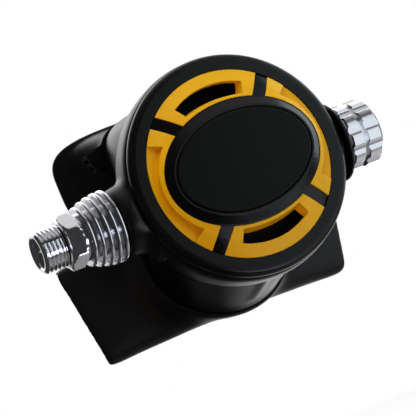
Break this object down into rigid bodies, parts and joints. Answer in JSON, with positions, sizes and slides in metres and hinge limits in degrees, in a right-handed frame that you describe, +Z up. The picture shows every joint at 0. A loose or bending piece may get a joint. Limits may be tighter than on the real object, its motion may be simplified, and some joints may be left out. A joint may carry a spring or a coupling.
{
  "type": "scuba second stage",
  "caption": "Second-stage demand valve with a purge button in a spoked cover, a finned threaded inlet, an adjustment knob, an exhaust tee and a silicone mouthpiece.",
  "frame": {"origin": "middle of the hose inlet's mouth, on the axis of the valve", "axes": "+X along the valve from the hose inlet to the adjustment knob, +Y from the front cover towards the diver, +Z up"},
  "size_m": [0.1256, 0.1032, 0.0844],
  "materials": {
    "black_nylon": "satin moulded",
    "yellow_plastic": "satin moulded",
    "white_acetal": "machined",
    "grey_silicone": "soft moulded",
    "black_silicone": "soft satin",
    "seal_rubber": "smooth",
    "stainless_steel": "bright",
    "brass": "machined",
    "chromed_brass": "polished chrome plate"
  },
  "bodies": {
    "regulator": {"case": "black_nylon", "clamp_ring": "black_nylon", "front_cover": "black_nylon", "insert_top": "yellow_plastic", "insert_bottom": "yellow_plastic", "insert_left": "yellow_plastic", "insert_right": "yellow_plastic", "purge_spring": "stainless_steel", "slip_ring": "white_acetal", "diaphragm": "grey_silicone", "valve_barrel": "brass", "barrel_o_rings": "seal_rubber", "heat_exchanger": "chromed_brass", "inlet_fitting": "chromed_brass", "inlet_o_ring": "seal_rubber", "orifice": "brass", "orifice_o_ring": "seal_rubber", "poppet_spring": "stainless_steel", "screw_clip": "stainless_steel", "barrel_nut": "black_nylon", "exhaust_valve": "grey_silicone", "exhaust_tee": "black_nylon", "mouthpiece": "black_silicone", "mouthpiece_tie": "black_nylon"},
    "purge": {"purge_button": "black_nylon", "purge_clip": "stainless_steel"},
    "disc": {"diaphragm_disc": "stainless_steel"},
    "demand_lever": {"lever": "stainless_steel"},
    "poppet_group": {"poppet": "white_acetal", "poppet_seat": "seal_rubber", "lever_washer": "stainless_steel", "lever_nut": "brass"},
    "carrier": {"spring_carrier": "white_acetal"},
    "knob": {"adjustment_knob": "chromed_brass", "adjustment_screw": "brass", "screw_o_ring": "seal_rubber", "knob_screw": "stainless_steel"}
  },
  "joints": [
    {"name": "purge_press", "type": "slide", "parent": "regulator", "child": "purge", "axis": [0, 1, 0], "range_m": [0, 0.0022], "stiffness_N_per_m": 400, "springref_m": -0.002, "deforming": ["purge_spring", "diaphragm"]},
    {"name": "diaphragm_travel", "type": "slide", "parent": "regulator", "child": "disc", "axis": [0, 1, 0], "range_m": [0, 0.0023]},
    {"name": "lever_swing", "type": "hinge", "parent": "regulator", "child": "demand_lever", "pos_m": [0.0866, -0.0063, 0], "axis": [0, 0, -1], "range_deg": [0, 9]},
    {"name": "poppet_slide", "type": "slide", "parent": "regulator", "child": "poppet_group", "axis": [1, 0, 0], "range_m": [0, 0.001], "deforming": ["poppet_spring"]},
    {"name": "knob_turn", "type": "hinge", "parent": "regulator", "child": "knob", "pos_m": [0.12, 0, 0], "axis": [1, 0, 0], "range_deg": [0, 720]},
    {"name": "carrier_slide", "type": "slide", "parent": "regulator", "child": "carrier", "axis": [-1, 0, 0], "range_m": [0, 0.00205], "deforming": ["poppet_spring"]}
  ],
  "couplings": [
    {"joint": "diaphragm_travel", "follows": "purge_press", "ratio": 1},
    {"joint": "lever_swing", "follows": "purge_press", "rad_per_m": 66.7},
    {"joint": "poppet_slide", "follows": "purge_press", "ratio": 0.42},
    {"joint": "carrier_slide", "follows": "knob_turn", "m_per_rad": 0.00015915}
  ]
}
